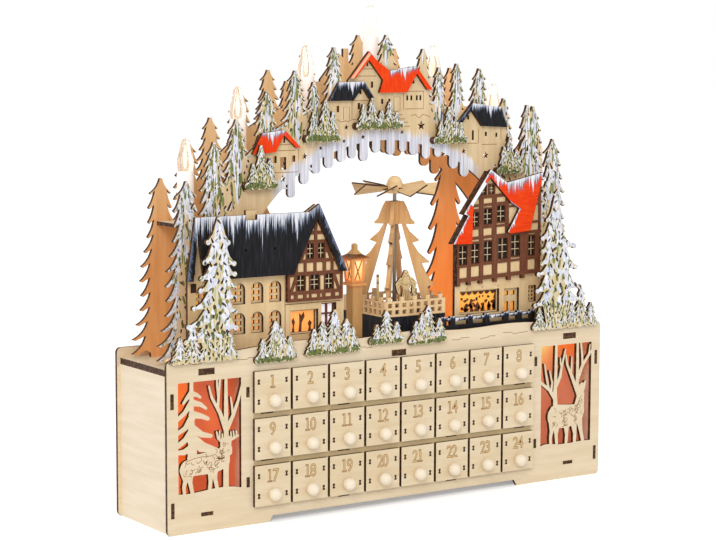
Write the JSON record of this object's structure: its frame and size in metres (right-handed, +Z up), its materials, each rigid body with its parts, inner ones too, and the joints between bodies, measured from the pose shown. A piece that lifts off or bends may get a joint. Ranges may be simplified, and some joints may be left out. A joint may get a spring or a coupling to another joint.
{
  "type": "wooden advent calendar",
  "caption": "Lit wooden advent calendar: a plywood cabinet of small numbered drawers under a snowy village, a turning pyramid and candle arches.",
  "frame": {"origin": "on the floor, at the centre of the outer box", "axes": "+X to the right along the front, +Y from the drawers to the back, +Z up"},
  "size_m": [0.42, 0.096, 0.3986],
  "materials": {
    "plywood": "bare birch plywood with burnt edges",
    "drawer_wood": "bare birch plywood with burnt edges and a turned knob",
    "lit_wood": "bare plywood in warm light",
    "snow_wood": "plywood brushed with white and green",
    "black_paint": "black paint brushed with white",
    "red_paint": "red paint brushed with white",
    "brown_stain": "brown stain",
    "orange_film": "translucent film",
    "candle_white": "satin",
    "candle_clear": "clear bulb",
    "steel": "drawn rod",
    "case_plastic": "moulded",
    "cell_skin": "plain metal jacket",
    "led_board": "moulded strip"
  },
  "bodies": {
    "cabinet": {"front_panel": "plywood", "back_panel": "plywood", "side_panels": "plywood", "bottom_panel": "plywood", "top_boards": "plywood", "middle_wall": "plywood", "lightbox_walls": "plywood", "drawer_grid": "plywood", "scene_backings": "orange_film", "front_arch": "snow_wood", "back_arch": "lit_wood", "arch_bridges": "plywood", "candle_sleeves": "candle_white", "candle_tips": "candle_clear", "arch_red_roofs": "red_paint", "arch_black_roofs": "black_paint", "arch_trees": "snow_wood", "house_walls": "plywood", "house_timbers": "brown_stain", "left_house_roof": "black_paint", "right_house_roof": "red_paint", "house_windows": "plywood", "village_fence": "black_paint", "front_trees": "snow_wood", "pyramid_base": "black_paint", "pyramid_fence": "plywood", "pyramid_fins": "plywood", "pyramid_figures": "plywood", "lantern": "plywood", "battery_case": "case_plastic", "battery_cells": "cell_skin", "led_modules": "led_board"},
    "drawer_01": {"drawer_01": "drawer_wood"},
    "drawer_02": {"drawer_02": "drawer_wood"},
    "drawer_03": {"drawer_03": "drawer_wood"},
    "drawer_04": {"drawer_04": "drawer_wood"},
    "drawer_05": {"drawer_05": "drawer_wood"},
    "drawer_06": {"drawer_06": "drawer_wood"},
    "drawer_07": {"drawer_07": "drawer_wood"},
    "drawer_08": {"drawer_08": "drawer_wood"},
    "drawer_09": {"drawer_09": "drawer_wood"},
    "drawer_10": {"drawer_10": "drawer_wood"},
    "drawer_11": {"drawer_11": "drawer_wood"},
    "drawer_12": {"drawer_12": "drawer_wood"},
    "drawer_13": {"drawer_13": "drawer_wood"},
    "drawer_14": {"drawer_14": "drawer_wood"},
    "drawer_15": {"drawer_15": "drawer_wood"},
    "drawer_16": {"drawer_16": "drawer_wood"},
    "drawer_17": {"drawer_17": "drawer_wood"},
    "drawer_18": {"drawer_18": "drawer_wood"},
    "drawer_19": {"drawer_19": "drawer_wood"},
    "drawer_20": {"drawer_20": "drawer_wood"},
    "drawer_21": {"drawer_21": "drawer_wood"},
    "drawer_22": {"drawer_22": "drawer_wood"},
    "drawer_23": {"drawer_23": "drawer_wood"},
    "drawer_24": {"drawer_24": "drawer_wood"},
    "rotor": {"rotor_spindle": "steel", "rotor_wheel": "plywood"},
    "battery_cover": {"battery_cover": "case_plastic"},
    "switch": {"switch_slider": "case_plastic"}
  },
  "joints": [
    {"name": "drawer_01_slide", "type": "slide", "parent": "cabinet", "child": "drawer_01", "axis": [0, -1, 0], "range_m": [0, 0.04]},
    {"name": "drawer_02_slide", "type": "slide", "parent": "cabinet", "child": "drawer_02", "axis": [0, -1, 0], "range_m": [0, 0.04]},
    {"name": "drawer_03_slide", "type": "slide", "parent": "cabinet", "child": "drawer_03", "axis": [0, -1, 0], "range_m": [0, 0.04]},
    {"name": "drawer_04_slide", "type": "slide", "parent": "cabinet", "child": "drawer_04", "axis": [0, -1, 0], "range_m": [0, 0.04]},
    {"name": "drawer_05_slide", "type": "slide", "parent": "cabinet", "child": "drawer_05", "axis": [0, -1, 0], "range_m": [0, 0.04]},
    {"name": "drawer_06_slide", "type": "slide", "parent": "cabinet", "child": "drawer_06", "axis": [0, -1, 0], "range_m": [0, 0.04]},
    {"name": "drawer_07_slide", "type": "slide", "parent": "cabinet", "child": "drawer_07", "axis": [0, -1, 0], "range_m": [0, 0.04]},
    {"name": "drawer_08_slide", "type": "slide", "parent": "cabinet", "child": "drawer_08", "axis": [0, -1, 0], "range_m": [0, 0.04]},
    {"name": "drawer_09_slide", "type": "slide", "parent": "cabinet", "child": "drawer_09", "axis": [0, -1, 0], "range_m": [0, 0.04]},
    {"name": "drawer_10_slide", "type": "slide", "parent": "cabinet", "child": "drawer_10", "axis": [0, -1, 0], "range_m": [0, 0.04]},
    {"name": "drawer_11_slide", "type": "slide", "parent": "cabinet", "child": "drawer_11", "axis": [0, -1, 0], "range_m": [0, 0.04]},
    {"name": "drawer_12_slide", "type": "slide", "parent": "cabinet", "child": "drawer_12", "axis": [0, -1, 0], "range_m": [0, 0.04]},
    {"name": "drawer_13_slide", "type": "slide", "parent": "cabinet", "child": "drawer_13", "axis": [0, -1, 0], "range_m": [0, 0.04]},
    {"name": "drawer_14_slide", "type": "slide", "parent": "cabinet", "child": "drawer_14", "axis": [0, -1, 0], "range_m": [0, 0.04]},
    {"name": "drawer_15_slide", "type": "slide", "parent": "cabinet", "child": "drawer_15", "axis": [0, -1, 0], "range_m": [0, 0.04]},
    {"name": "drawer_16_slide", "type": "slide", "parent": "cabinet", "child": "drawer_16", "axis": [0, -1, 0], "range_m": [0, 0.04]},
    {"name": "drawer_17_slide", "type": "slide", "parent": "cabinet", "child": "drawer_17", "axis": [0, -1, 0], "range_m": [0, 0.04]},
    {"name": "drawer_18_slide", "type": "slide", "parent": "cabinet", "child": "drawer_18", "axis": [0, -1, 0], "range_m": [0, 0.04]},
    {"name": "drawer_19_slide", "type": "slide", "parent": "cabinet", "child": "drawer_19", "axis": [0, -1, 0], "range_m": [0, 0.04]},
    {"name": "drawer_20_slide", "type": "slide", "parent": "cabinet", "child": "drawer_20", "axis": [0, -1, 0], "range_m": [0, 0.04]},
    {"name": "drawer_21_slide", "type": "slide", "parent": "cabinet", "child": "drawer_21", "axis": [0, -1, 0], "range_m": [0, 0.04]},
    {"name": "drawer_22_slide", "type": "slide", "parent": "cabinet", "child": "drawer_22", "axis": [0, -1, 0], "range_m": [0, 0.04]},
    {"name": "drawer_23_slide", "type": "slide", "parent": "cabinet", "child": "drawer_23", "axis": [0, -1, 0], "range_m": [0, 0.04]},
    {"name": "drawer_24_slide", "type": "slide", "parent": "cabinet", "child": "drawer_24", "axis": [0, -1, 0], "range_m": [0, 0.04]},
    {"name": "rotor_spin", "type": "hinge", "parent": "cabinet", "child": "rotor", "pos_m": [0.022, 0.003, 0.2], "axis": [0, 0, 1], "continuous": true},
    {"name": "cover_lift", "type": "slide", "parent": "cabinet", "child": "battery_cover", "axis": [0, 1, 0], "range_m": [0, 0.03]},
    {"name": "switch_slide", "type": "slide", "parent": "cabinet", "child": "switch", "axis": [1, 0, 0], "range_m": [0, 0.004]}
  ]
}
